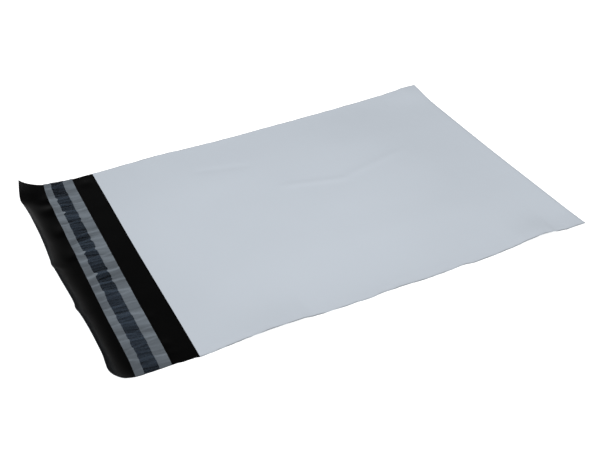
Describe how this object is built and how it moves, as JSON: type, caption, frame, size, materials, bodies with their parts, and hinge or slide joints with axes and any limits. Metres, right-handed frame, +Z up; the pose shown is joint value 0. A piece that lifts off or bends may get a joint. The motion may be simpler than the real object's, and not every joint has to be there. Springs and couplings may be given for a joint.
{
  "type": "poly mailer bag",
  "caption": "Flat, empty film mailing bag with a folded bottom, welded sides, an open mouth and a curled closing flap with adhesive under a release liner.",
  "frame": {"origin": "middle of the back wall's underside, half way between the mouth and the bottom fold, on the table", "axes": "+X from the open mouth to the folded bottom, +Y across the bag, +Z up out of the front wall"},
  "size_m": [0.3051, 0.2032, 0.0109],
  "materials": {
    "film": "smooth satin polyethylene film, pale outside, black inside",
    "adhesive": "tacky hot melt, dark where it lies on the black film",
    "liner": "translucent silicone-coated film with fine cross creases"
  },
  "bodies": {
    "root": {"film_bag": "film", "adhesive_strip": "adhesive", "release_liner": "liner"}
  },
  "joints": []
}
